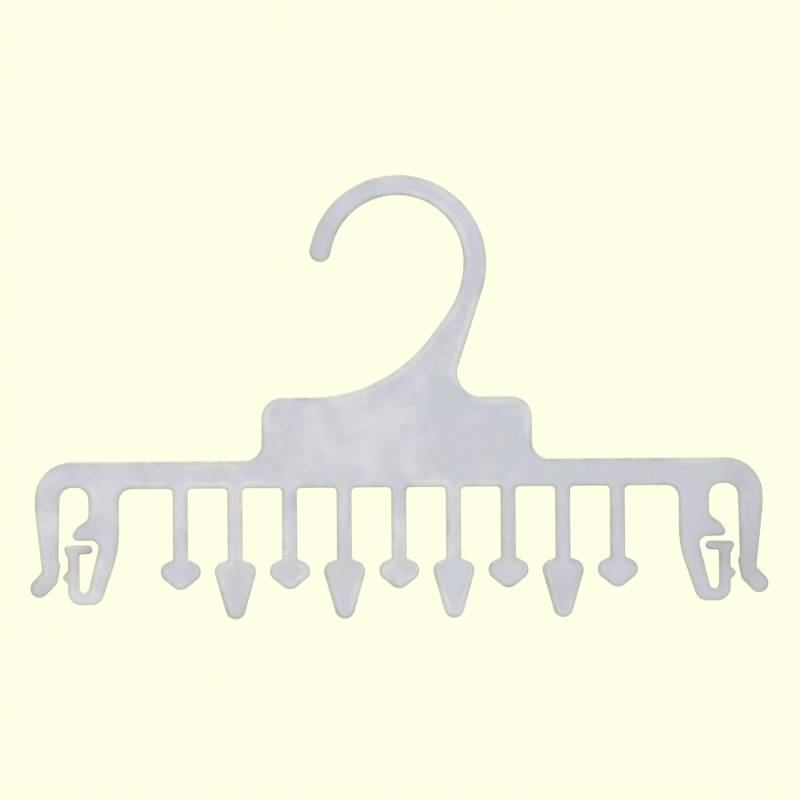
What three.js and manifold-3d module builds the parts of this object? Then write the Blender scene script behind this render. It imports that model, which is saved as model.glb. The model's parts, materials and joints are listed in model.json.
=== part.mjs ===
// Delicates hanger: a flat plastic moulding with a hook, a label plate, a crossbar, barbed teeth
// and a spring clip at each end.
// Millimetres. X runs along the bar, Y through the sheet (the front faces -Y), and Z is up.
// The origin is the crown of the hook's inside, where the rail bears.

import * as THREE from 'three';
import { mergeVertices } from 'three/addons/utils/BufferGeometryUtils.js';
import Module from 'manifold-3d';

const wasm = await Module();
wasm.setup();

// Sheet
const sheetThickness = 3.0;
const edgeChamfer = 0.6;
const arcTolerance = 0.08; // how far a facet may stray from its arc
const samePoint = 0.001; // points nearer than this are one
const slackTurn = Math.PI / 4; // a belt that turns back by less than this only touches its disc

// Hook: band widths over the crown, at the tip and where the stem begins
const hookInnerRadius = 22.9;
const hookCrownBand = 7.0;
const hookTipBand = 7.4;
const hookStemBand = 7.9;
const hookTipLean = 0.1; // tip's centre outward of the band's middle
const hookTipLift = 3.8; // tip's centre above the hook's centre

// Neck: the stem's foot on the plate, on each side of the hook's centre
const hookDrop = 69.4; // crown to plate top
const neckFootRight = 28.7;
const neckFootLeft = 30.0;
const neckFilletRadius = 8.2;
const neckStemRadius = 31.0; // stem's inner edge, just below the bow
const neckSweepRadius = 51.8;

// Label plate
const plateWidth = 93.1;
const plateShift = -0.5; // plate's middle from the bar's middle
const plateHeight = 21.6;
const plateCornerRadius = 7.2;
const plateFillet = 5.9;

// Crossbar
const barLength = 250.4;
const barHeight = 9.5;
const shoulderRadius = 12.8;

// Teeth: depths are below the bar
const toothCount = 9;
const toothPitch = 18.8;
const toothShank = 5.2;
const toothRootFillet = 1.4;
const toothNeckFillet = 0.9;
const shortHeadWidth = 13.8;
const shortHeadTop = 24.7;
const shortHeadWidest = 28.6;
const shortHeadShoulder = 3.5;
const shortHeadTipRadius = 3.7;
const shortToothLength = 34.8;
const longHeadWidth = 14.2;
const longHeadTop = 24.9;
const longHeadWidest = 28.7;
const longHeadShoulder = 3.5;
const longHeadTipRadius = 3.4;
const longToothLength = 45.1;

// Clip post and spur: widths run inward from the bar's end, depths are below the bar
const armRootWidth = 8.5;
const eyeWidth = 9.9;
const eyeRadius = 4.2;
const eyeRise = 0.6; // eye's top above the bar's underside
const postWidth = 10.5;
const postFillet = 4.2;
const postSweepRadius = 36.0;
const postSweepDepth = 14.7;
const spurReach = 5.5;
const spurDepth = 15.9;
const spurTipRadius = 1.6;
const spurBrowReach = 4.1; // upper corner of the spur's blunt end
const spurBrowDepth = 13.4;
const spurBrowRadius = 0.7;
const spurRootDepth = 8.6;
const spurRootRadius = 3.1;
const pocketUndercut = 3.4; // how far the post is hollowed under the spur
const pocketTopDepth = 17.6;
const pocketRadius = 2.6;

// Clip bend and tongue
const jawGap = 2.7; // arm to tongue
const tongueWidth = 4.0;
const bendDepth = 39.8;
const bendBand = 4.3;
const bendGap = 3.2; // tongue to the post's foot
const bendOuterRadius = 4.7;
const bendHeelRadius = 4.3;
const bendHeelInset = 0.9; // heel's centre inward of the post's foot
const headTopDepth = 19.2;
const headThickness = 3.1;
const headLip = 1.2; // head past the tongue, on the arm's side
const headReach = 4.5; // head past the tongue, on the post's side
const headEndRadius = 1.5;
const headLipRise = 3.3; // height of the flare under the lip
const headLipFillet = 1.5;
const headCornerFillet = 0.6;
const nibDepth = 30.2;
const nibReach = 1.7;
const nibTipRadius = 1.2;
const nibHalfBase = 2.5;
const nibFillet = 0.6;

// Clip arm
const armLean = 0.5; // how far the arm's inner face leans out at the bump
const bumpDepth = 26.1;
const bumpReach = 0.6;
const bumpRadius = 1.2;
const bumpLead = 2.3; // bump's centre below the start of its ramp
const bumpFillet = 1.5;
const heelDepth = 30.7;
const heelInset = 0.8;
const heelRadius = 3.2;
const toeDepth = 37.1;
const toeReach = 1.8; // toe past the arm's outer face
const toeRadius = 3.2;
const notchDepth = 27.3;
const notchInset = 2.2;
const notchRadius = 2.6;
const armTaperDepth = 5.5;
const armTaperRadius = 30.0;

// Seams between members, and the slots that let the springy ones swing
const tipSeamDrop = 2.0; // bow's seam below the tip
const neckSeamRise = 1.5; // neck's seam above the plate
const plateSeamRise = 1.0; // plate's seam above the bar
const rootSeamDrop = 0.5; // post's and arm's seam below the eye's corners
const armSlot = 0.65;
const tongueSlot = 0.3;
const toothSlot = 0.35;
const stubLength = 1.5; // how far a member is drawn past its seam before it is trimmed

const plasticColor = 0xcdced3;
const plasticRoughness = 0.42;

// Heights worked out from the sizes above
const plateTop = -hookDrop;
const barTop = plateTop - plateHeight;
const barBottom = barTop - barHeight;
const eyeCornerZ = barBottom + eyeRise - eyeRadius;
const bendInnerRadius = bendGap / 2;
const bendBottom = barBottom - bendDepth;
const tongueSeam = bendBottom + bendBand + bendInnerRadius;
const rootSeam = eyeCornerZ - rootSeamDrop;

// Places along the bar, for the right-hand clip
const armOuter = barLength / 2;
const armInner = armOuter - armRootWidth;
const postOuter = armInner - eyeWidth;
const postInner = postOuter - postWidth;
const tongueOuter = armInner - jawGap;
const tongueInner = tongueOuter - tongueWidth;
const footOuter = tongueInner - bendGap;
const clipStart = postInner - postFillet;

// An outline is a taut belt round a ring of discs. It runs anticlockwise round a disc with a positive
// radius, and clockwise, as a hollow curve, where the radius is negative. Radius 0 is a sharp corner.
const disc = (x, z, radius = 0) => ({ x, z, radius });

const mirror = (discs) => discs.map(({ x, z, radius }) => disc(-x, z, radius)).reverse();

function heading(from, to) {
  const across = to.x - from.x;
  const up = to.z - from.z;
  const slope = (to.radius - from.radius) / Math.hypot(across, up);
  return Math.atan2(up, across) - Math.asin(THREE.MathUtils.clamp(slope, -1, 1));
}

function arcPoints(center, startHeading, endHeading) {
  const { x, z, radius } = center;
  if (radius === 0) return [new THREE.Vector2(x, z)];
  const way = Math.sign(radius);
  const eased = way * (endHeading - startHeading) + slackTurn;
  const turn = THREE.MathUtils.euclideanModulo(eased, 2 * Math.PI) - slackTurn;
  const finest = 2 * Math.acos(1 - Math.min(arcTolerance / Math.abs(radius), 1));
  const steps = Math.max(Math.ceil(turn / finest), 0);
  const points = [];
  for (let i = 0; i <= steps; i += 1) {
    const share = steps > 0 ? i / steps : 0.5;
    const angle = startHeading + way * turn * share;
    points.push(new THREE.Vector2(x + radius * Math.sin(angle), z - radius * Math.cos(angle)));
  }
  return points;
}

function belt(discs) {
  const points = discs.flatMap((center, i) => {
    const before = discs.at(i - 1);
    const after = discs[(i + 1) % discs.length];
    return arcPoints(center, heading(before, center), heading(center, after));
  });
  return points.filter((point, i) => point.distanceTo(points.at(i - 1)) > samePoint);
}

// Solids
function solidOf(geometry) {
  geometry.deleteAttribute('normal');
  geometry.deleteAttribute('uv');
  const merged = mergeVertices(geometry);
  const vertProperties = new Float32Array(merged.attributes.position.array);
  const triVerts = new Uint32Array(merged.index.array);
  return new wasm.Manifold(new wasm.Mesh({ numProp: 3, vertProperties, triVerts }));
}

function geometryOf(solid) {
  const mesh = solid.getMesh();
  const geometry = new THREE.BufferGeometry();
  geometry.setAttribute('position', new THREE.BufferAttribute(mesh.vertProperties, 3));
  geometry.setIndex(new THREE.BufferAttribute(mesh.triVerts, 1));
  geometry.computeVertexNormals();
  return geometry;
}

// A standing plate of the sheet's thickness, with both faces' edges chamfered
function plate(discs) {
  const geometry = new THREE.ExtrudeGeometry(new THREE.Shape(belt(discs)), {
    depth: sheetThickness - 2 * edgeChamfer,
    bevelEnabled: true,
    bevelThickness: edgeChamfer,
    bevelSize: edgeChamfer,
    bevelOffset: -edgeChamfer,
    bevelSegments: 1,
  });
  geometry.translate(0, 0, edgeChamfer - sheetThickness / 2);
  geometry.rotateX(Math.PI / 2);
  return solidOf(geometry);
}

// A block through the sheet, from its lower left corner to its upper right one
function block(left, bottom, right, top) {
  const geometry = new THREE.BoxGeometry(right - left, 2 * sheetThickness, top - bottom);
  geometry.translate((left + right) / 2, 0, (bottom + top) / 2);
  return solidOf(geometry);
}

const far = barLength; // beyond every edge of the hanger

// Hook and neck
function hookDiscs() {
  const outerRadius = hookInnerRadius + (hookTipBand + hookStemBand) / 2;
  const outer = disc((hookStemBand - hookTipBand) / 2, hookCrownBand - outerRadius, outerRadius);
  const inner = disc(0, -hookInnerRadius, -hookInnerRadius);
  return [
    disc(neckFootRight, plateTop + neckFilletRadius, -neckFilletRadius),
    outer,
    hookTip(),
    inner,
    disc(hookInnerRadius - neckStemRadius, inner.z, -neckStemRadius),
    disc(-neckFootLeft, plateTop + neckSweepRadius, -neckSweepRadius),
  ];
}

function hookTip() {
  const radius = hookTipBand / 2;
  const reach = hookInnerRadius + radius + hookTipLean;
  return disc(-Math.sqrt(reach ** 2 - hookTipLift ** 2), hookTipLift - hookInnerRadius, radius);
}

// Label plate's corner and fillet on one side
function plateSideDiscs(edge, side) {
  return [
    disc(edge + side * plateFillet, barTop + plateFillet, -plateFillet),
    disc(edge - side * plateCornerRadius, plateTop - plateCornerRadius, plateCornerRadius),
  ];
}

// Teeth
const toothPlaces = Array.from({ length: toothCount }, (_, i) => (i - (toothCount - 1) / 2) * toothPitch);

function toothRootDiscs(middle) {
  const flare = toothShank / 2 + toothRootFillet;
  const left = [
    disc(-flare, barBottom - toothRootFillet, -toothRootFillet),
    disc(-toothShank / 2, barBottom - toothRootFillet - stubLength),
  ];
  return [...left, ...mirror(left)].map(({ x, z, radius }) => disc(x + middle, z, radius));
}

function toothSolid({ width, top, widest, shoulder, tipRadius, length }) {
  const flare = toothShank / 2 + toothRootFillet;
  const left = [
    disc(-flare - stubLength, barBottom + stubLength),
    disc(-flare - stubLength, barBottom),
    disc(-flare, barBottom - toothRootFillet, -toothRootFillet),
    disc(-toothShank / 2 - toothNeckFillet, barBottom - top + toothNeckFillet, -toothNeckFillet),
    disc(shoulder - width / 2, barBottom - widest, shoulder),
  ];
  const tip = disc(0, barBottom - length + tipRadius, tipRadius);
  const waste = block(-far, barBottom - toothSlot, far, far);
  return plate([...left, tip, ...mirror(left)]).subtract(waste);
}

const shortTooth = toothSolid({
  width: shortHeadWidth,
  top: shortHeadTop,
  widest: shortHeadWidest,
  shoulder: shortHeadShoulder,
  tipRadius: shortHeadTipRadius,
  length: shortToothLength,
});

const longTooth = toothSolid({
  width: longHeadWidth,
  top: longHeadTop,
  widest: longHeadWidest,
  shoulder: longHeadShoulder,
  tipRadius: longHeadTipRadius,
  length: longToothLength,
});

// Right-hand clip, from the bar's underside round the post, the bend and the eye to the bar's top
function clipDiscs() {
  const eyeLeft = postOuter + eyeRadius;
  const eyeRight = armInner - eyeRadius;
  const pocketWall = postOuter - pocketUndercut;
  return [
    disc(clipStart, barBottom - postFillet, -postFillet),
    disc(postInner + postSweepRadius, barBottom - postSweepDepth, postSweepRadius),
    disc(footOuter - bendHeelInset, bendBottom + bendHeelRadius, bendHeelRadius),
    disc(tongueOuter - bendOuterRadius, bendBottom + bendOuterRadius, bendOuterRadius),
    disc(tongueOuter, tongueSeam + stubLength),
    disc(tongueInner, tongueSeam + stubLength),
    disc(tongueInner - bendInnerRadius, tongueSeam, -bendInnerRadius),
    disc(pocketWall + pocketRadius, barBottom - pocketTopDepth - pocketRadius, -pocketRadius),
    disc(postOuter + spurReach - spurTipRadius, barBottom - spurDepth, spurTipRadius),
    disc(postOuter + spurBrowReach - spurBrowRadius, barBottom - spurBrowDepth, spurBrowRadius),
    disc(postOuter + spurRootRadius, barBottom - spurRootDepth, -spurRootRadius),
    disc(eyeLeft, eyeCornerZ, -eyeRadius),
    disc(eyeRight, eyeCornerZ, -eyeRadius),
    disc(armInner, rootSeam - stubLength),
    disc(armOuter, rootSeam - stubLength),
    disc(armOuter - shoulderRadius, barTop - shoulderRadius, shoulderRadius),
  ];
}

function armDiscs() {
  const bumpFoot = armInner + armLean;
  const bumpZ = barBottom - bumpDepth;
  return [
    disc(armInner, rootSeam + stubLength),
    disc(bumpFoot - bumpFillet, bumpZ + bumpLead, -bumpFillet),
    disc(bumpFoot - bumpReach + bumpRadius, bumpZ, bumpRadius),
    disc(armInner + heelInset + heelRadius, barBottom - heelDepth, heelRadius),
    disc(armOuter + toeReach - toeRadius, barBottom - toeDepth + toeRadius, toeRadius),
    disc(armOuter - notchInset + notchRadius, barBottom - notchDepth, -notchRadius),
    disc(armOuter - armTaperRadius, barBottom - armTaperDepth, armTaperRadius),
    disc(armOuter, rootSeam + stubLength),
  ];
}

function tongueDiscs() {
  const nibZ = barBottom - nibDepth;
  const headTop = barBottom - headTopDepth;
  const lipZ = headTop - headEndRadius;
  return [
    disc(tongueOuter, tongueSeam - stubLength),
    disc(tongueOuter + nibFillet, nibZ - nibHalfBase, -nibFillet),
    disc(tongueOuter + nibReach - nibTipRadius, nibZ, nibTipRadius),
    disc(tongueOuter + nibFillet, nibZ + nibHalfBase, -nibFillet),
    disc(tongueOuter + headLipFillet, lipZ - headLipRise, -headLipFillet),
    disc(tongueOuter + headLip - headEndRadius, lipZ, headEndRadius),
    disc(tongueInner - headReach + headEndRadius, lipZ, headEndRadius),
    disc(tongueInner - headCornerFillet, headTop - headThickness - headCornerFillet, -headCornerFillet),
    disc(tongueInner, tongueSeam - stubLength),
  ];
}

// The stiff members are drawn as one outline and parted at their seams
function frameSolid() {
  const plateLeft = plateShift - plateWidth / 2;
  const plateRight = plateShift + plateWidth / 2;
  return plate([
    ...toothPlaces.flatMap(toothRootDiscs),
    ...clipDiscs(),
    ...plateSideDiscs(plateRight, 1),
    ...hookDiscs(),
    ...plateSideDiscs(plateLeft, -1).reverse(),
    ...mirror(clipDiscs()),
  ]);
}

const frame = frameSolid();
const cut = (left, bottom, right, top) => frame.intersect(block(left, bottom, right, top));
const bowSeam = hookTip().z - hookTip().radius - tipSeamDrop;
const neckSeam = plateTop + neckSeamRise;
const plateSeam = barTop + plateSeamRise;

// The hanger
const hanger = new THREE.Group();

function addMember(name, solid, x = 0) {
  const material = new THREE.MeshStandardMaterial({
    color: plasticColor,
    roughness: plasticRoughness,
    metalness: 0,
  });
  const mesh = new THREE.Mesh(geometryOf(solid), material);
  mesh.name = name;
  mesh.position.x = x;
  hanger.add(mesh);
}

addMember('hook_bow', cut(-far, bowSeam, far, far));
addMember('hook_neck', cut(-far, neckSeam, far, bowSeam));
addMember('label_plate', cut(-far, plateSeam, far, neckSeam));
addMember('crossbar', cut(-clipStart, barBottom, clipStart, plateSeam));

toothPlaces.forEach((x, i) => {
  const tooth = i % 2 === 0 ? shortTooth : longTooth;
  addMember(`tooth_${i + 1}`, tooth, x);
});

// Each clip's members, drawn for the right and mirrored for the left
function addClip(name, side) {
  const span = (inner, outer) => (side > 0 ? [inner, outer] : [-outer, -inner]);
  const clipCut = (inner, bottom, outer, top) => {
    const [left, right] = span(inner, outer);
    return cut(left, bottom, right, top);
  };
  const clipBlock = (inner, bottom, outer, top) => {
    const [left, right] = span(inner, outer);
    return block(left, bottom, right, top);
  };
  const drawn = (discs) => plate(side > 0 ? discs : mirror(discs));
  const stubTop = tongueSeam + 2 * stubLength;
  const tongueStub = clipBlock(footOuter + bendInnerRadius, tongueSeam, armInner, stubTop);
  const armWaste = clipBlock(0, rootSeam - armSlot, far, far);
  const tongueWaste = clipBlock(0, -far, far, tongueSeam + tongueSlot);

  addMember(`${name}_shoulder`, clipCut(clipStart, rootSeam, far, plateSeam));
  addMember(`${name}_post`, clipCut(clipStart, tongueSeam, armInner, rootSeam).subtract(tongueStub));
  addMember(`${name}_bend`, clipCut(clipStart, -far, far, tongueSeam));
  addMember(`${name}_arm`, drawn(armDiscs()).subtract(armWaste));
  addMember(`${name}_tongue`, drawn(tongueDiscs()).subtract(tongueWaste));
}

addClip('clip_left', -1);
addClip('clip_right', 1);

export default hanger;
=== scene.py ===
# The looks of a delicates hanger: one milky plastic moulding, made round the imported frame.
# Sizes are in millimetres and become metres where a mesh, lamp or camera is made.
# The front faces -Y, Z is up, and the origin is the crown of the hook's inside.

import json
import math
from collections import namedtuple

import bpy
import numpy as np
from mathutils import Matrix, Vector, noise
from mathutils.geometry import delaunay_2d_cdt


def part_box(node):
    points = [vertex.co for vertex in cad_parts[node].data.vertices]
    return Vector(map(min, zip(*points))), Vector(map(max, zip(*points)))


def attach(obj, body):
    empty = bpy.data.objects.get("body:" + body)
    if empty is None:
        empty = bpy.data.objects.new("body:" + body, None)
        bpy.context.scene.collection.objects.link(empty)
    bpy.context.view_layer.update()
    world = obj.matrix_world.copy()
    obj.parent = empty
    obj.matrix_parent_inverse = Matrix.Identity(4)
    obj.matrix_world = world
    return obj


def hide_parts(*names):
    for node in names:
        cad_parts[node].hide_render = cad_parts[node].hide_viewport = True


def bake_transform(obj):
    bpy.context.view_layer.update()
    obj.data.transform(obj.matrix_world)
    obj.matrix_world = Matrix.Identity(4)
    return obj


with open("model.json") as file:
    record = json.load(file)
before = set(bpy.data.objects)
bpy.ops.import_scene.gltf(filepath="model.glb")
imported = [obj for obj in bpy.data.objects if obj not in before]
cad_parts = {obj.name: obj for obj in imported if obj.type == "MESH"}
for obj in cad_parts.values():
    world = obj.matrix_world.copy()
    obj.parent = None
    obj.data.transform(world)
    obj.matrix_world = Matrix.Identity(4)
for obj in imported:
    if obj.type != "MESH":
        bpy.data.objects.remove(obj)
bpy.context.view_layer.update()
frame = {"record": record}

MM = 0.001
ROOT = "hanger_frame"

# Hook and neck
HOOK_INNER_RADIUS = 22.9
HOOK_CROWN_BAND = 7.0
HOOK_TIP_BAND = 7.4
HOOK_STEM_BAND = 7.9
HOOK_TIP_LEAN = 0.1
HOOK_TIP_LIFT = 3.8
NECK_FOOT_RIGHT = 28.7
NECK_FOOT_LEFT = 30.0
NECK_FILLET_RADIUS = 8.2
NECK_STEM_RADIUS = 31.0
NECK_SWEEP_RADIUS = 51.8

# Label plate and bar
PLATE_WIDTH = 93.1
PLATE_SHIFT = -0.5
PLATE_HEIGHT = 21.6
PLATE_CORNER_RADIUS = 7.2
PLATE_FILLET = 5.9
SHOULDER_RADIUS = 12.8

# Teeth: depths are below the bar
TOOTH_SHANK = 5.2
TOOTH_ROOT_FILLET = 1.4
TOOTH_NECK_FILLET = 0.9
Head = namedtuple("Head", "width top widest shoulder tip_radius length")
SHORT_HEAD = Head(width=13.8, top=24.7, widest=28.6, shoulder=3.5, tip_radius=3.7, length=34.8)
LONG_HEAD = Head(width=14.2, top=24.9, widest=28.7, shoulder=3.5, tip_radius=3.4, length=45.1)

# Clip post and spur: widths run inward from the bar's end, depths are below the bar
ARM_ROOT_WIDTH = 8.5
EYE_WIDTH = 9.9
EYE_RADIUS = 4.2
EYE_RISE = 0.6  # eye's top above the bar's underside
POST_WIDTH = 10.5
POST_FILLET = 4.2
POST_SWEEP_RADIUS = 36.0
POST_SWEEP_DEPTH = 14.7
SPUR_REACH = 5.5
SPUR_DEPTH = 15.9
SPUR_TIP_RADIUS = 1.6
SPUR_BROW_REACH = 4.1  # upper corner of the spur's blunt end
SPUR_BROW_DEPTH = 13.4
SPUR_BROW_RADIUS = 0.7
SPUR_ROOT_DEPTH = 8.6
SPUR_ROOT_RADIUS = 3.1
POCKET_UNDERCUT = 3.4
POCKET_TOP_DEPTH = 17.6
POCKET_RADIUS = 2.6

# Clip bend and tongue
JAW_GAP = 2.7
TONGUE_WIDTH = 4.0
BEND_GAP = 3.2
BEND_OUTER_RADIUS = 4.7
BEND_HEEL_RADIUS = 4.3
BEND_HEEL_INSET = 0.9
HEAD_TOP_DEPTH = 19.2
HEAD_THICKNESS = 3.1
HEAD_LIP = 1.2
HEAD_REACH = 4.5
HEAD_END_RADIUS = 1.5
HEAD_LIP_RISE = 3.3
HEAD_LIP_FILLET = 1.5
HEAD_CORNER_FILLET = 0.6
NIB_DEPTH = 30.2
NIB_REACH = 1.7
NIB_TIP_RADIUS = 1.2
NIB_HALF_BASE = 2.5
NIB_FILLET = 0.6

# Clip arm
ARM_LEAN = 0.5
BUMP_DEPTH = 26.1
BUMP_REACH = 0.6
BUMP_RADIUS = 1.2
BUMP_LEAD = 2.3
BUMP_FILLET = 1.5
HEEL_DEPTH = 30.7
HEEL_INSET = 0.8
HEEL_RADIUS = 3.2
TOE_DEPTH = 37.1
TOE_REACH = 1.8
TOE_RADIUS = 3.2
NOTCH_DEPTH = 27.3
NOTCH_INSET = 2.2
NOTCH_RADIUS = 2.6
ARM_TAPER_DEPTH = 5.5
ARM_TAPER_RADIUS = 30.0

# Surface of the moulding
EDGE_RADIUS = 0.72  # how far the rounded edge reaches in from the outline
HEAD_EDGE_RADIUS = 1.6  # the same on the teeth's thinned heads
TOE_EDGE_RADIUS = 1.5  # the same on the arms' toes
TONGUE_HEAD_EDGE_RADIUS = 1.15  # the same on the tongues' heads
BROW_EDGE_RADIUS = 0.5  # the same on the spur's upper corner
EDGE_DEPTH = 1.0  # how far it reaches through the sheet
EDGE_STEPS = 6
PARTING_RIDGE = 0.04  # height of the line where the mould's halves met
PARTING_HALF_WIDTH = 0.09
SINK_DEPTH = 0.20  # faces sink a little inside their edges
SINK_START = 1.0
SINK_END = 2.6
WAVE_DEPTH = 0.03  # and they are a little wavy
WAVE_LENGTH = 17.0
WAVE_END = 5.2  # distance from the outline at which the waves have their full depth
WAVE_SHIFT = 51.0  # keeps the back's waves unlike the front's
PIN_RADIUS = 2.0  # ejector pins' marks on the back
PIN_DEPTH = 0.12
PIN_EDGE = 0.15
PIN_SIDES = 24
PIN_CLEARANCE = 0.6  # band round a mark that is kept free of other points
PIN_SPREAD = PLATE_WIDTH / 3  # from the plate's middle to either of its pins

# Fineness of the meshes
ARC_TOLERANCE = 0.008
RUN_STEP = 2.5
SLACK_TURN = math.pi / 4  # a turn that comes out slightly negative isn't taken for a whole round
SAME_PLACE = 0.001
TINY = 1e-12  # keeps a division from a zero length
MERGE_DISTANCE = 1e-6
INSIDE_ONLY = 1  # triangulation keeps what lies inside the border
CONTOURS = (1.0, 1.4, 1.8, 2.2, 2.7)  # rows of points that follow the outline
CONTOUR_SLACK = 0.03
POINT_SPACING = 0.32
GRID_STEP = 1.7
GRID_DEPTH = 3.4
PLACES_AT_ONCE = 400  # keeps the distance tables small

# Seams and the lengths over which the springy members bend
TOOTH_SEAM_DROP = 0.4  # below the root fillet
TONGUE_SEAM_RISE = 0.6  # above the bend
TOOTH_FLEX = 14.0
ARM_FLEX = 15.0
TONGUE_FLEX = 8.0


def corners(node):
    """Lowest and highest corner of a CAD node, in millimetres."""
    low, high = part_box(node)
    return low / MM, high / MM


# Heights and places taken from the frame
bodies = frame["record"]["behaviour"]["bodies"]
tooth_names = [body for body in bodies if body.startswith("tooth_")]
bar_low, bar_high = corners("crossbar")
shoulder_low, shoulder_high = corners("clip_right_shoulder")
bend_low, bend_high = corners("clip_right_bend")
half_sheet = bar_high.y
bar_bottom = bar_low.z
bar_top = shoulder_high.z
plate_top = bar_top + PLATE_HEIGHT
eye_corner_z = bar_bottom + EYE_RISE - EYE_RADIUS
root_seam = shoulder_low.z
tooth_seam = bar_bottom - TOOTH_ROOT_FILLET - TOOTH_SEAM_DROP
tongue_seam = bend_high.z + TONGUE_SEAM_RISE
bend_bottom = bend_low.z

# Places along the bar, for the right-hand clip
arm_outer = shoulder_high.x
arm_inner = arm_outer - ARM_ROOT_WIDTH
post_outer = arm_inner - EYE_WIDTH
post_inner = post_outer - POST_WIDTH
tongue_outer = arm_inner - JAW_GAP
tongue_inner = tongue_outer - TONGUE_WIDTH
foot_outer = tongue_inner - BEND_GAP


# Outline: a taut belt round a ring of discs. It runs anticlockwise, as seen from the front, round a disc
# with a positive radius, and clockwise, as a hollow curve, where the radius is negative.
Disc = namedtuple("Disc", "x z radius member edge")
Point = namedtuple("Point", "x z out_x out_z edge seam")


def disc(x, z, radius, member=ROOT, edge=EDGE_RADIUS):
    return Disc(x, z, radius, member, edge)


def mirror(discs):
    """The same discs on the other side, with right-hand members named as left-hand ones."""
    return [d._replace(x=-d.x, member=d.member.replace("right", "left")) for d in reversed(discs)]


def hook_discs():
    outer_radius = HOOK_INNER_RADIUS + (HOOK_TIP_BAND + HOOK_STEM_BAND) / 2
    outer_x = (HOOK_STEM_BAND - HOOK_TIP_BAND) / 2
    tip_radius = HOOK_TIP_BAND / 2
    tip_reach = HOOK_INNER_RADIUS + tip_radius + HOOK_TIP_LEAN
    tip_x = -math.sqrt(tip_reach**2 - HOOK_TIP_LIFT**2)
    return [
        disc(NECK_FOOT_RIGHT, plate_top + NECK_FILLET_RADIUS, -NECK_FILLET_RADIUS),
        disc(outer_x, HOOK_CROWN_BAND - outer_radius, outer_radius),
        disc(tip_x, HOOK_TIP_LIFT - HOOK_INNER_RADIUS, tip_radius),
        disc(0, -HOOK_INNER_RADIUS, -HOOK_INNER_RADIUS),
        disc(HOOK_INNER_RADIUS - NECK_STEM_RADIUS, -HOOK_INNER_RADIUS, -NECK_STEM_RADIUS),
        disc(-NECK_FOOT_LEFT, plate_top + NECK_SWEEP_RADIUS, -NECK_SWEEP_RADIUS),
    ]


def plate_side_discs(side):
    edge = PLATE_SHIFT + side * PLATE_WIDTH / 2
    return [
        disc(edge + side * PLATE_FILLET, bar_top + PLATE_FILLET, -PLATE_FILLET),
        disc(edge - side * PLATE_CORNER_RADIUS, plate_top - PLATE_CORNER_RADIUS, PLATE_CORNER_RADIUS),
    ]


def tooth_discs(name):
    low, high = corners(name)
    middle = (low.x + high.x) / 2
    length = bar_bottom - low.z
    head = min(SHORT_HEAD, LONG_HEAD, key=lambda head: abs(head.length - length))
    flare = TOOTH_SHANK / 2 + TOOTH_ROOT_FILLET
    neck = TOOTH_SHANK / 2 + TOOTH_NECK_FILLET
    reach = head.width / 2 - head.shoulder
    left = [
        disc(-flare, bar_bottom - TOOTH_ROOT_FILLET, -TOOTH_ROOT_FILLET),
        disc(-neck, bar_bottom - head.top + TOOTH_NECK_FILLET, -TOOTH_NECK_FILLET, name),
        disc(-reach, bar_bottom - head.widest, head.shoulder, name, HEAD_EDGE_RADIUS),
    ]
    tip = disc(0, bar_bottom - head.length + head.tip_radius, head.tip_radius, name, HEAD_EDGE_RADIUS)
    return [d._replace(x=d.x + middle) for d in [*left, tip, *mirror(left)]]


def tongue_discs(member="right_tongue"):
    nib_z = bar_bottom - NIB_DEPTH
    head_top = bar_bottom - HEAD_TOP_DEPTH
    lip_z = head_top - HEAD_END_RADIUS
    under_head = head_top - HEAD_THICKNESS
    nib_foot = tongue_outer + NIB_FILLET
    nib_tip = tongue_outer + NIB_REACH - NIB_TIP_RADIUS
    lip_end = tongue_outer + HEAD_LIP - HEAD_END_RADIUS
    head_end = tongue_inner - HEAD_REACH + HEAD_END_RADIUS
    corner_x = tongue_inner - HEAD_CORNER_FILLET
    corner_z = under_head - HEAD_CORNER_FILLET
    return [
        disc(nib_foot, nib_z - NIB_HALF_BASE, -NIB_FILLET, member),
        disc(nib_tip, nib_z, NIB_TIP_RADIUS, member),
        disc(nib_foot, nib_z + NIB_HALF_BASE, -NIB_FILLET, member),
        disc(tongue_outer + HEAD_LIP_FILLET, lip_z - HEAD_LIP_RISE, -HEAD_LIP_FILLET, member),
        disc(lip_end, lip_z, HEAD_END_RADIUS, member, TONGUE_HEAD_EDGE_RADIUS),
        disc(head_end, lip_z, HEAD_END_RADIUS, member, TONGUE_HEAD_EDGE_RADIUS),
        disc(corner_x, corner_z, -HEAD_CORNER_FILLET, member),
    ]


def arm_discs(member="right_arm"):
    bump_foot = arm_inner + ARM_LEAN
    bump_z = bar_bottom - BUMP_DEPTH
    heel_x = arm_inner + HEEL_INSET + HEEL_RADIUS
    toe_x = arm_outer + TOE_REACH - TOE_RADIUS
    return [
        disc(bump_foot - BUMP_FILLET, bump_z + BUMP_LEAD, -BUMP_FILLET, member),
        disc(bump_foot - BUMP_REACH + BUMP_RADIUS, bump_z, BUMP_RADIUS, member),
        disc(heel_x, bar_bottom - HEEL_DEPTH, HEEL_RADIUS, member, TOE_EDGE_RADIUS),
        disc(toe_x, bar_bottom - TOE_DEPTH + TOE_RADIUS, TOE_RADIUS, member, TOE_EDGE_RADIUS),
        disc(arm_outer - NOTCH_INSET + NOTCH_RADIUS, bar_bottom - NOTCH_DEPTH, -NOTCH_RADIUS, member),
        disc(arm_outer - ARM_TAPER_RADIUS, bar_bottom - ARM_TAPER_DEPTH, ARM_TAPER_RADIUS, member),
    ]


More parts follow.
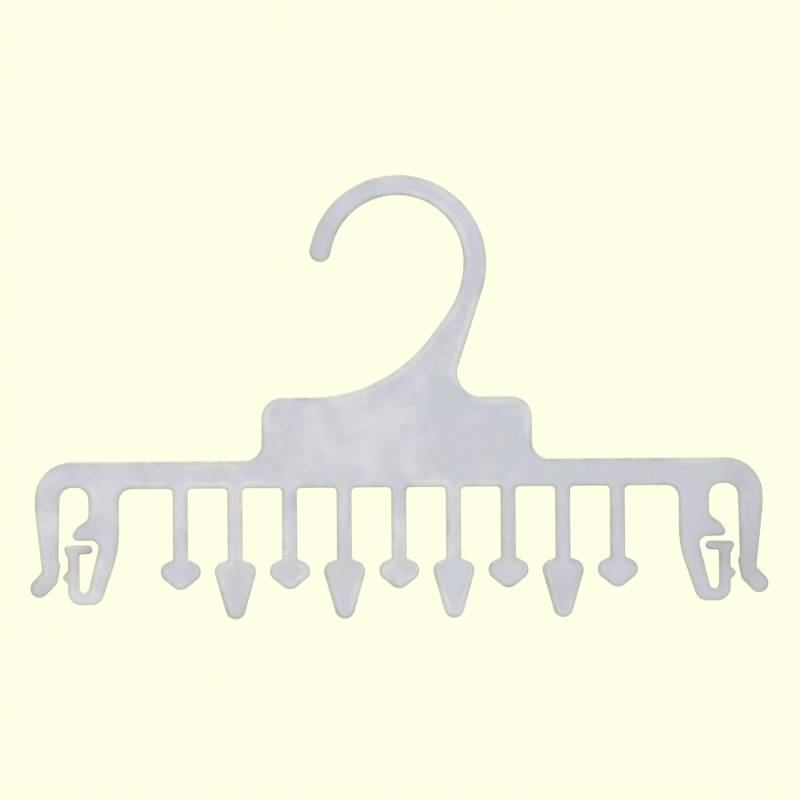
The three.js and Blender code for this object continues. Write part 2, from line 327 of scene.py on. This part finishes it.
def clip_discs():
    """The right-hand clip, from the bar's underside round post, bend and eye to the bar's top."""
    bend_inner_radius = BEND_GAP / 2
    spur_tip = post_outer + SPUR_REACH - SPUR_TIP_RADIUS
    spur_brow = post_outer + SPUR_BROW_REACH - SPUR_BROW_RADIUS
    pocket_x = post_outer - POCKET_UNDERCUT + POCKET_RADIUS
    return [
        disc(post_inner - POST_FILLET, bar_bottom - POST_FILLET, -POST_FILLET),
        disc(post_inner + POST_SWEEP_RADIUS, bar_bottom - POST_SWEEP_DEPTH, POST_SWEEP_RADIUS),
        disc(foot_outer - BEND_HEEL_INSET, bend_bottom + BEND_HEEL_RADIUS, BEND_HEEL_RADIUS),
        disc(tongue_outer - BEND_OUTER_RADIUS, bend_bottom + BEND_OUTER_RADIUS, BEND_OUTER_RADIUS),
        *tongue_discs(),
        disc(tongue_inner - bend_inner_radius, bend_high.z, -bend_inner_radius),
        disc(pocket_x, bar_bottom - POCKET_TOP_DEPTH - POCKET_RADIUS, -POCKET_RADIUS),
        disc(spur_tip, bar_bottom - SPUR_DEPTH, SPUR_TIP_RADIUS),
        disc(spur_brow, bar_bottom - SPUR_BROW_DEPTH, SPUR_BROW_RADIUS, edge=BROW_EDGE_RADIUS),
        disc(post_outer + SPUR_ROOT_RADIUS, bar_bottom - SPUR_ROOT_DEPTH, -SPUR_ROOT_RADIUS),
        disc(post_outer + EYE_RADIUS, eye_corner_z, -EYE_RADIUS),
        disc(arm_inner - EYE_RADIUS, eye_corner_z, -EYE_RADIUS),
        *arm_discs(),
        disc(arm_outer - SHOULDER_RADIUS, bar_top - SHOULDER_RADIUS, SHOULDER_RADIUS),
    ]


def hanger_discs():
    teeth = [d for name in tooth_names for d in tooth_discs(name)]
    left_plate_side = plate_side_discs(-1)[::-1]
    return [
        *teeth,
        *clip_discs(),
        *plate_side_discs(1),
        *hook_discs(),
        *left_plate_side,
        *mirror(clip_discs()),
    ]


Flex = namedtuple("Flex", "seam end")


def flex_of(member):
    """The heights at which a springy member parts from the frame and has turned all the way."""
    if member.endswith("arm"):
        return Flex(root_seam, root_seam - ARM_FLEX)
    if member.endswith("tongue"):
        return Flex(tongue_seam, tongue_seam + TONGUE_FLEX)
    return Flex(tooth_seam, tooth_seam - TOOTH_FLEX)


def heading(start, end):
    """Direction of the belt's straight run from one disc to the next."""
    across = end.x - start.x
    up = end.z - start.z
    slope = (end.radius - start.radius) / math.hypot(across, up)
    return math.atan2(up, across) - math.asin(min(max(slope, -1), 1))


def arc_points(here, start, end):
    """Points on a disc between two headings, each with its outward direction."""
    way = math.copysign(1, here.radius)
    turn = (way * (end - start) + SLACK_TURN) % (2 * math.pi) - SLACK_TURN
    finest = 2 * math.acos(1 - ARC_TOLERANCE / abs(here.radius))
    steps = max(math.ceil(turn / finest), 1)
    points = []
    for i in range(steps + 1):
        angle = start + way * turn * i / steps
        out_x = math.sin(angle)
        out_z = -math.cos(angle)
        x = here.x + here.radius * out_x
        z = here.z + here.radius * out_z
        points.append(Point(x, z, out_x, out_z, here.edge, None))
    return points


def run_points(start, end, member):
    """Points inside a straight run, and where member isn't None, the point of that member's seam."""
    length = math.hypot(end.x - start.x, end.z - start.z)
    stops = [0.0, 1.0]
    if member:
        stops.insert(1, (flex_of(member).seam - start.z) / (end.z - start.z))
    points = []
    for first, last in zip(stops, stops[1:]):
        steps = max(math.ceil((last - first) * length / RUN_STEP), 1)
        shares = np.linspace(first, last, steps + 1)[1:]
        for share in shares:
            seam = member if member and share == stops[1] else None
            x = start.x + share * (end.x - start.x)
            z = start.z + share * (end.z - start.z)
            edge = start.edge + share * (end.edge - start.edge)
            points.append(Point(x, z, start.out_x, start.out_z, edge, seam))
    return points[:-1]


def lies_apart(point, other):
    return math.hypot(other.x - point.x, other.z - point.z) > SAME_PLACE


def outline_of(discs):
    """All points of the belt in order, without those that lie on the next one."""
    count = len(discs)
    arcs = []
    for i, here in enumerate(discs):
        before = discs[i - 1]
        after = discs[(i + 1) % count]
        arcs.append(arc_points(here, heading(before, here), heading(here, after)))
    points = []
    for i, here in enumerate(discs):
        after = (i + 1) % count
        members = {here.member, discs[after].member} - {ROOT}
        crosses = here.member != discs[after].member
        points += arcs[i]
        points += run_points(arcs[i][-1], arcs[after][0], members.pop() if crosses else None)
    return [p for p, q in zip(points, points[1:] + points[:1]) if lies_apart(p, q)]


outline = outline_of(hanger_discs())
edge_line = np.array([(p.x, p.z) for p in outline])
outward = np.array([(p.out_x, p.out_z) for p in outline])
edge_radius = np.array([p.edge for p in outline])


def smooth_step(value, start, end):
    share = np.clip((value - start) / (end - start), 0, 1)
    return share * share * (3 - 2 * share)


def distance_from(loop, places):
    """Distance of each place from the nearest edge of a closed loop."""
    along = np.roll(loop, -1, axis=0) - loop
    squared = np.maximum((along**2).sum(axis=1), TINY)
    distances = []
    for i in range(0, len(places), PLACES_AT_ONCE):
        offset = places[i : i + PLACES_AT_ONCE, None, :] - loop
        share = np.clip((offset * along).sum(axis=2) / squared, 0, 1)
        nearest = offset - share[..., None] * along
        distances.append(np.sqrt((nearest**2).sum(axis=2).min(axis=1)))
    return np.concatenate(distances)


def depth_inside(places):
    return distance_from(edge_line, places)


def lies_inside(places, loop):
    """Which places lie inside a closed loop, by counting the crossings of a ray."""
    after = np.roll(loop, -1, axis=0)
    rise = after[:, 1] - loop[:, 1]
    rise = np.where(rise == 0, TINY, rise)
    found = []
    for i in range(0, len(places), PLACES_AT_ONCE):
        x = places[i : i + PLACES_AT_ONCE, None, 0]
        z = places[i : i + PLACES_AT_ONCE, None, 1]
        spans = (loop[:, 1] > z) != (after[:, 1] > z)
        crossing = loop[:, 0] + (z - loop[:, 1]) / rise * (after[:, 0] - loop[:, 0])
        found.append((spans & (crossing > x)).sum(axis=1) % 2 == 1)
    return np.concatenate(found)


# Rows round the rim, from the border of the front face over the edge to the border of the back face.
# Each row is the share of the edge's radius that it lies in from the parting ridge, its height through
# the sheet, and how far it stands back from the ridge's top.
Row = namedtuple("Row", "share y stand_back")


def rim_rows():
    front = []
    for i in range(EDGE_STEPS + 1):
        angle = math.pi / 2 * i / EDGE_STEPS
        y = EDGE_DEPTH * (1 - math.cos(angle)) - half_sheet
        front.append(Row(1 - math.sin(angle), y, PARTING_RIDGE))
    front.append(Row(0, -PARTING_HALF_WIDTH, PARTING_RIDGE))
    back = [row._replace(y=-row.y) for row in reversed(front)]
    return [*front, Row(0, 0, 0), *back]


rows = rim_rows()


def row_insets(row):
    """How far each point of the outline moves in on one row of the rim."""
    return row.stand_back + row.share * (edge_radius - row.stand_back)


def pin_places():
    """Middles of the ejector pins' marks: on the plate, the neck, the hook and the bar's ends."""
    plate_z = (plate_top + bar_top) / 2
    bar_z = (bar_top + bar_bottom) / 2
    neck_x = NECK_FOOT_RIGHT / 2
    places = [(x, plate_z) for x in (-PIN_SPREAD, PIN_SPREAD)]
    places += [(x, bar_z) for x in (-post_outer, post_outer)]
    places += [(neck_x, plate_top), (0, HOOK_CROWN_BAND / 2)]
    return np.array(places)


pins = pin_places()


def drop_of(places, depths, side):
    """How far the face at each place lies under the sheet's full height."""
    sink = SINK_DEPTH * smooth_step(depths, SINK_START, SINK_END)
    offset = side * WAVE_SHIFT
    waves = [noise.noise(Vector((x, offset, z)) / WAVE_LENGTH) for x, z in places]
    drop = sink + WAVE_DEPTH * smooth_step(depths, SINK_START, WAVE_END) * np.array(waves)
    if side > 0:
        reach = np.sqrt(((places[:, None, :] - pins) ** 2).sum(axis=2).min(axis=1))
        drop = drop + PIN_DEPTH * (reach < PIN_RADIUS)
    return drop


def thinned(places):
    """The places without those that lie too close to one before them."""
    cells = {}
    kept = []
    for place in places:
        column, row = (int(value // POINT_SPACING) for value in place)
        around = [(column + i, row + j) for i in (-1, 0, 1) for j in (-1, 0, 1)]
        near = [other for cell in around for other in cells.get(cell, [])]
        if all(math.dist(place, other) > POINT_SPACING for other in near):
            cells.setdefault((column, row), []).append(place)
            kept.append(place)
    return np.array(kept)


def contour_places():
    """Points in rows that follow the outline, where the sheet is wide enough for the row."""
    places = []
    for depth in CONTOURS:
        row = edge_line - depth * outward
        fits = (depth_inside(row) > depth - CONTOUR_SLACK) & (edge_radius < depth - POINT_SPACING / 2)
        places += list(row[fits])
    return thinned(places)


def grid_places():
    """A triangular grid of points for the middles of the faces."""
    low = edge_line.min(axis=0)
    high = edge_line.max(axis=0)
    row_step = GRID_STEP * math.sqrt(3) / 2
    places = []
    for i, z in enumerate(np.arange(low[1], high[1], row_step)):
        shift = GRID_STEP / 2 * (i % 2)
        places += [(x + shift, z) for x in np.arange(low[0], high[0], GRID_STEP)]
    places = np.array(places)
    places = places[lies_inside(places, edge_line)]
    return places[depth_inside(places) > GRID_DEPTH]


def pin_rings():
    """Two close rings of points round each ejector pin's mark, for its small step."""
    places = []
    for x, z in pins:
        for radius in (PIN_RADIUS - PIN_EDGE / 2, PIN_RADIUS + PIN_EDGE / 2):
            for i in range(PIN_SIDES):
                angle = 2 * math.pi * i / PIN_SIDES
                places.append((x + radius * math.cos(angle), z + radius * math.sin(angle)))
    return np.array(places)


def face_places():
    """Every point inside the faces, with room made round the pins' marks for their rings."""
    places = np.concatenate([contour_places(), grid_places()])
    reach = np.sqrt(((places[:, None, :] - pins) ** 2).sum(axis=2).min(axis=1))
    return np.concatenate([places[reach > PIN_RADIUS + PIN_CLEARANCE], pin_rings()])


inner_places = face_places()


# Pieces: each springy member is the stretch of the outline between its two seam points.
# The frame is the rest.
def stretches():
    """Each body's runs of the outline's points, by index, with a seam from each run to the next."""
    marks = [(i, p.seam) for i, p in enumerate(outline) if p.seam]
    starts = marks[0::2]
    ends = marks[1::2]
    found = {ROOT: []}
    count = len(outline)
    for (first, member), (last, _) in zip(starts, ends):
        found[member] = [list(range(first, last + 1))]
    for (last, _), (first, _) in zip(ends, starts[1:] + starts[:1]):
        length = (first - last) % count
        found[ROOT].append([(last + i) % count for i in range(length + 1)])
    return found


def seam_places(first, last):
    """Points across a seam, between the borders of the faces at two points of the outline."""
    start = edge_line[first] - edge_radius[first] * outward[first]
    end = edge_line[last] - edge_radius[last] * outward[last]
    width = np.hypot(*(end - start))
    offsets = [depth - EDGE_RADIUS for depth in CONTOURS]
    offsets = [offset for offset in offsets if offset < width / 2 - POINT_SPACING]
    middles = max(math.ceil((width - 2 * offsets[-1]) / GRID_STEP), 1)
    middle = np.linspace(offsets[-1], width - offsets[-1], middles + 1)
    stops = [*offsets[:-1], *middle, *(width - offset for offset in reversed(offsets[:-1]))]
    return np.array([start + (end - start) * stop / width for stop in stops])


class Builder:
    """Collects one piece's vertices, with their distance from the outline, and its faces."""

    def __init__(self):
        self.vertices = []
        self.depths = []
        self.faces = []

    def add(self, places, heights, depths):
        first = len(self.vertices)
        self.vertices += [(x * MM, y * MM, z * MM) for (x, z), y in zip(places, heights)]
        self.depths += list(depths)
        return list(range(first, len(self.vertices)))

    def add_pair(self, places):
        """Adds the same places on the front and the back face."""
        depths = depth_inside(places)
        front = self.add(places, drop_of(places, depths, -1) - half_sheet, depths)
        back = self.add(places, half_sheet - drop_of(places, depths, 1), depths)
        return front, back

    def add_cap(self, border):
        """Closes a seam with a face that has its own corners, so that its edge stays sharp."""
        first = len(self.vertices)
        self.vertices += [self.vertices[i] for i in border]
        self.depths += [self.depths[i] for i in border]
        self.faces.append(tuple(range(first, len(self.vertices))))


def fill_faces(builder, loop, front_loop, back_loop):
    """Fills the front and the back inside a loop of places with triangles."""
    inside = inner_places[lies_inside(inner_places, loop)]
    inside = inside[distance_from(loop, inside) > POINT_SPACING / 2]
    front, back = builder.add_pair(inside)
    front = front_loop + front
    back = back_loop + back
    places = [Vector(place) for place in (*loop, *inside)]
    border = list(range(len(loop)))
    made = delaunay_2d_cdt(places, [], [border], INSIDE_ONLY, MERGE_DISTANCE)
    source = [ids[0] for ids in made[3]]
    for triangle in made[2]:
        a, b, c = (source[i] for i in triangle)
        builder.faces.append((front[a], front[b], front[c]))
        builder.faces.append((back[a], back[c], back[b]))


def build_piece(name, runs):
    """One closed mesh from its runs of the outline, closed at each seam by a flat cap."""
    builder = Builder()
    loop = []
    front_loop = []
    back_loop = []
    rims = []
    for run in runs:
        rim = []
        for row in rows:
            insets = row_insets(row)[run]
            places = edge_line[run] - insets[:, None] * outward[run]
            rim.append(builder.add(places, [row.y] * len(run), insets))
        for upper, lower in zip(rim, rim[1:]):
            for i in range(len(run) - 1):
                builder.faces.append((upper[i], lower[i], lower[i + 1], upper[i + 1]))
        rims.append(rim)
    for i, run in enumerate(runs):
        after = (i + 1) % len(runs)
        border = edge_line[run] - edge_radius[run][:, None] * outward[run]
        across = seam_places(run[-1], runs[after][0])
        front, back = builder.add_pair(across)
        loop += [*border, *across]
        front_loop += rims[i][0] + front
        back_loop += rims[i][-1] + back
        this_side = [row[-1] for row in rims[i]]
        far_side = [row[0] for row in rims[after]]
        builder.add_cap([*this_side, *back, *reversed(far_side), *reversed(front)])
    fill_faces(builder, np.array(loop), front_loop, back_loop)
    return make_object(name, builder)


def make_object(name, builder):
    """A smooth mesh that knows how far each of its points lies from the outline."""
    mesh = bpy.data.meshes.new(name)
    mesh.from_pydata(builder.vertices, [], builder.faces)
    mesh.shade_smooth()
    depth = mesh.attributes.new("edge_distance", "FLOAT", "POINT")
    depth.data.foreach_set("value", np.array(builder.depths, np.float32) * MM)
    mesh.update()
    piece = bpy.data.objects.new(name, mesh)
    bpy.context.scene.collection.objects.link(piece)
    return piece


# Material: cloudy polypropylene. Lengths are in millimetres, and shares run from 0 to 1.
CLOUD_BLUE = (0.564, 0.600, 0.690)
CLOUD_LAVENDER = (0.609, 0.579, 0.722)
CLOUD_WARM = (0.598, 0.602, 0.625)
CLOUD_PALE = (0.710, 0.695, 0.768)
# colour of the greyer patches, which are in part painted shade
PATCH_GREY = (0.470, 0.450, 0.535)
EDGE_SHADE = (0.780, 0.760, 0.785)  # painted shade along the edges, uneven in strength: what it takes from the colour
RIM_SHADE_AND_REFLECTION = (0.925, 0.915, 0.680)  # painted shade all round the edges, with a yellow cast that stands in for the cream backdrop reflected in them: what it takes from the colour
IOR = 1.49
BUMP_STRENGTH = 0.12
BUMP_HEIGHT = 0.05

# Noise: features per metre, fine detail, roughness and seed
Noise = namedtuple("Noise", "scale detail roughness seed", defaults=(2.0, 0.5, 0.0))
HUE_NOISE = Noise(38.0, 3.0, seed=119.0)
WARM_NOISE = Noise(60.0, seed=42.5)
PALE_NOISE = Noise(75.0, 3.0, 0.55, 61.2)
MILKY_NOISE = Noise(22.0)
UNEVEN_NOISE = Noise(170.0)
GLOSS_NOISE = Noise(240.0, 4.0)
SKIN_NOISE = Noise(1400.0, 3.0)

# Ramps: a value from low to high becomes a share, or a roughness, from to_low to to_high
Ramp = namedtuple("Ramp", "low high to_low to_high", defaults=(0.0, 1.0))
HUE_RAMP = Ramp(0.4, 0.6)
WARM_RAMP = Ramp(0.4, 0.6, 0.42, 0.0)
PALE_RAMP = Ramp(0.48, 0.78, 0.0, 0.9)
MILKY_RAMP = Ramp(0.42, 0.62, 0.0, 0.24)
UNEVEN_RAMP = Ramp(0.42, 0.68, 0.0, 0.55)
ROUGHNESS_RAMP = Ramp(0.3, 0.7, 0.24, 0.36)
LEFT_LIGHT_RAMP = Ramp(-130.0, 130.0, 0.1, -0.1)  # paler toward the left end and greyer toward the right one: painted light, as the key lamp's light falls from the left
BORDER_RAMP = Ramp(1.2, 3.4, 1.0, 0.0)  # by distance from the outline, like the next two
SHADE_RAMP = Ramp(0.25, 2.2, 1.0, 0.0)
RIM_RAMP = Ramp(0.35, 2.1, 0.45, 0.0)

# Round patches: a pale blush where the plastic was let into the mould, and greyer patches. These are in
# part painted shade: on the right-hand clip, its heel and the right-hand teeth, where the light from the
# left falls off, and on the tongues' thin heads. The rest is greyer tone of the plastic.
Patch = namedtuple("Patch", "x z reach share")
BLUSH = Patch(-12.0, -80.0, 34.0, 0.22)
GREY_AND_SHADE_PATCHES = (
    Patch(-27.0, -22.0, 30.0, 0.24),
    Patch(-124.0, -137.0, 12.0, 0.34),
    Patch(124.0, -123.0, 37.0, 0.42),
    Patch(-113.0, -126.0, 9.0, 0.22),
    Patch(113.0, -122.0, 13.0, 0.68),
    Patch(57.0, -137.0, 15.0, 0.30),
    Patch(-106.5, -122.0, 6.0, 1.0),
    Patch(120.5, -130.0, 8.0, 0.5),
    Patch(117.0, -98.0, 9.0, 0.42),
)


class Nodes:
    """Short ways to add and link a material's or the world's nodes."""

    def __init__(self, owner):
        owner.use_nodes = True
        self.tree = owner.node_tree
        self.tree.nodes.clear()

    def add(self, kind, links=None, **settings):
        node = self.tree.nodes.new(kind)
        for name, value in settings.items():
            setattr(node, name, value)
        for socket, value in (links or {}).items():
            if isinstance(value, bpy.types.NodeSocket):
                self.tree.links.new(value, node.inputs[socket])
            else:
                node.inputs[socket].default_value = value
        return node

    def noise(self, place, pattern):
        links = {
            "Vector": place,
            "W": pattern.seed,
            "Scale": pattern.scale,
            "Detail": pattern.detail,
            "Roughness": pattern.roughness,
        }
        return self.add("ShaderNodeTexNoise", links, noise_dimensions="4D").outputs["Fac"]

    def ramp(self, value, ramp, unit=1.0):
        links = {
            "Value": value,
            "From Min": ramp.low * unit,
            "From Max": ramp.high * unit,
            "To Min": ramp.to_low,
            "To Max": ramp.to_high,
        }
        node = self.add("ShaderNodeMapRange", links, interpolation_type="SMOOTHSTEP")
        return node.outputs["Result"]

    def patch(self, place, patch):
        """Share of a round patch at each place, from its middle out to its reach."""
        middle = (patch.x * MM, 0, patch.z * MM)
        away = self.add("ShaderNodeVectorMath", {0: place, 1: middle}, operation="DISTANCE")
        return self.ramp(away.outputs["Value"], Ramp(0.0, patch.reach, patch.share, 0.0), MM)

    def mix(self, share, first, second, blend="MIX"):
        node = self.add("ShaderNodeMix", data_type="RGBA", blend_type=blend)
        for socket, value in (("Factor_Float", share), ("A_Color", first), ("B_Color", second)):
            target = next(s for s in node.inputs if s.identifier == socket)
            if isinstance(value, bpy.types.NodeSocket):
                self.tree.links.new(value, target)
            else:
                target.default_value = (*value, 1)
        return next(s for s in node.outputs if s.identifier == "Result_Color")

    def math(self, operation, first, second):
        return self.add("ShaderNodeMath", {0: first, 1: second}, operation=operation).outputs[0]


def milky_plastic():
    """Cloudy plastic in blue, lavender and warm grey, paler in patches, with painted light toward the
    left end, greyer patches that are in part painted shade, and painted shade along its edges.
    """
    material = bpy.data.materials.new("milky_plastic_moulded")
    nodes = Nodes(material)
    place = nodes.add("ShaderNodeTexCoord").outputs["Object"]
    edge = nodes.add("ShaderNodeAttribute", attribute_name="edge_distance").outputs["Fac"]

    hue = nodes.ramp(nodes.noise(place, HUE_NOISE), HUE_RAMP)
    warm = nodes.ramp(nodes.noise(place, WARM_NOISE), WARM_RAMP)
    along = nodes.add("ShaderNodeSeparateXYZ", {"Vector": place}).outputs["X"]
    # painted light: the colour grows paler toward the left end, where the key lamp's light falls
    left_light = nodes.ramp(along, LEFT_LIGHT_RAMP, MM)
    border = nodes.ramp(edge, BORDER_RAMP, MM)
    milky = nodes.ramp(nodes.noise(place, MILKY_NOISE), MILKY_RAMP)
    cloud = nodes.math("ADD", nodes.noise(place, PALE_NOISE), nodes.patch(place, BLUSH))
    cloud = nodes.math("ADD", cloud, left_light)
    cloud = nodes.math("ADD", cloud, nodes.math("MULTIPLY", border, milky))
    pale = nodes.ramp(cloud, PALE_RAMP)
    uneven = nodes.ramp(nodes.noise(place, UNEVEN_NOISE), UNEVEN_RAMP)
    # painted shade along the edges, stronger in some places than in others
    shade = nodes.math("MULTIPLY", nodes.ramp(edge, SHADE_RAMP, MM), uneven)
    # painted shade all round the edges, yellowed as a painted reflection of the cream backdrop
    rim = nodes.ramp(edge, RIM_RAMP, MM)

    color = nodes.mix(hue, CLOUD_BLUE, CLOUD_LAVENDER)
    color = nodes.mix(warm, color, CLOUD_WARM)
    color = nodes.mix(pale, color, CLOUD_PALE)
    # greyer patches: in part painted shade on the right-hand clip, the right-hand teeth and the tongues'
    # heads, in part greyer tone
    for grey_patch in GREY_AND_SHADE_PATCHES:
        color = nodes.mix(nodes.patch(place, grey_patch), color, PATCH_GREY)
    color = nodes.mix(shade, color, EDGE_SHADE, "MULTIPLY")
    color = nodes.mix(rim, color, RIM_SHADE_AND_REFLECTION, "MULTIPLY")

    roughness = nodes.ramp(nodes.noise(place, GLOSS_NOISE), ROUGHNESS_RAMP)
    skin = nodes.noise(place, SKIN_NOISE)
    fine = {"Height": skin, "Strength": BUMP_STRENGTH, "Distance": BUMP_HEIGHT * MM}
    bump = nodes.add("ShaderNodeBump", fine)
    links = {
        "Base Color": color,
        "Roughness": roughness,
        "IOR": IOR,
        "Normal": bump.outputs["Normal"],
    }
    shader = nodes.add("ShaderNodeBsdfPrincipled", links)
    nodes.add("ShaderNodeOutputMaterial", {"Surface": shader.outputs["BSDF"]})
    return material


# The hanger
plastic = milky_plastic()


for body, runs in stretches().items():
    piece = build_piece(f"{body}_moulding", runs)
    piece.data.materials.append(plastic)
    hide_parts(*bodies[body])
    if body == ROOT:
        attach(piece, ROOT)
    else:
        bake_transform(piece)


# Studio
BACKGROUND = (1.0, 1.0, 0.783)
PHOTO_WIDTH = 275.3  # width of the view at the hanger
LENS = 150.0
SENSOR = 36.0
AIM_X = 0.7
AIM_Z = -70.5
ROLL = 0.45  # degrees
WORLD_LIGHT = 0.505
FLOOR_Z = -300.0
FLOOR_RADIUS = 550.0
FLOOR_FADE = Ramp(275.0, FLOOR_RADIUS)  # the floor grows clear toward its edge
FLOOR_SIDES = 96
Lamp = namedtuple("Lamp", "name place size power")
LAMPS = (
    Lamp("key", (-330, -700, 800), 450, 5.2),
    Lamp("fill", (1500, -1800, 0), 900, 9.4),
    Lamp("glint", (60, -700, -240), 45, 0.14),
    Lamp("back", (300, 1000, 500), 1800, 8.0),
)


def add_camera():
    data = bpy.data.cameras.new("camera")
    data.lens = LENS
    data.sensor_width = SENSOR
    camera = bpy.data.objects.new("camera", data)
    distance = PHOTO_WIDTH * LENS / SENSOR
    camera.location = Vector((AIM_X, -distance, AIM_Z)) * MM
    camera.rotation_euler = (math.radians(90), math.radians(ROLL), 0)
    bpy.context.scene.collection.objects.link(camera)
    bpy.context.scene.camera = camera


def add_lamp(lamp):
    """A square lamp that faces the middle of the view."""
    data = bpy.data.lights.new(lamp.name, "AREA")
    data.size = lamp.size * MM
    data.energy = lamp.power
    source = bpy.data.objects.new(lamp.name, data)
    source.location = Vector(lamp.place) * MM
    toward = Vector((AIM_X, 0, AIM_Z)) * MM - source.location
    source.rotation_euler = toward.to_track_quat("-Z", "Y").to_euler()
    bpy.context.scene.collection.objects.link(source)


def seen_directly(nodes):
    """1 for rays from the camera, or through gloss or glass, and 0 for the light on surfaces."""
    path = nodes.add("ShaderNodeLightPath").outputs
    shiny = nodes.math("MAXIMUM", path["Is Glossy Ray"], path["Is Transmission Ray"])
    return nodes.math("MAXIMUM", path["Is Camera Ray"], shiny)


def set_world():
    world = bpy.data.worlds.new("studio")
    bpy.context.scene.world = world
    nodes = Nodes(world)
    light = nodes.add("ShaderNodeBackground", {"Color": (1, 1, 1, 1), "Strength": WORLD_LIGHT})
    shown = nodes.add("ShaderNodeBackground", {"Color": (*BACKGROUND, 1), "Strength": 1.0})
    links = {"Fac": seen_directly(nodes), 1: light.outputs[0], 2: shown.outputs[0]}
    both = nodes.add("ShaderNodeMixShader", links)
    nodes.add("ShaderNodeOutputWorld", {"Surface": both.outputs[0]})


def add_floor():
    """A pale round floor that fades into the background and takes the hanger's shadow."""
    bpy.ops.mesh.primitive_circle_add(
        vertices=FLOOR_SIDES, radius=FLOOR_RADIUS * MM, fill_type="NGON", location=(0, 0, FLOOR_Z * MM)
    )
    floor = bpy.context.object
    floor.name = "floor"
    material = bpy.data.materials.new("pale_floor")
    nodes = Nodes(material)
    place = nodes.add("ShaderNodeTexCoord").outputs["Object"]
    reach = nodes.add("ShaderNodeVectorMath", {0: place}, operation="LENGTH").outputs["Value"]
    fade = nodes.ramp(reach, FLOOR_FADE, MM)
    matt = nodes.add("ShaderNodeBsdfDiffuse", {"Color": (*BACKGROUND, 1)})
    clear = nodes.add("ShaderNodeBsdfTransparent")
    both = nodes.add("ShaderNodeMixShader", {"Fac": fade, 1: matt.outputs[0], 2: clear.outputs[0]})
    nodes.add("ShaderNodeOutputMaterial", {"Surface": both.outputs[0]})
    floor.data.materials.append(material)


add_camera()
for lamp in LAMPS:
    add_lamp(lamp)
add_floor()
set_world()
bpy.context.scene.view_settings.view_transform = "Standard"
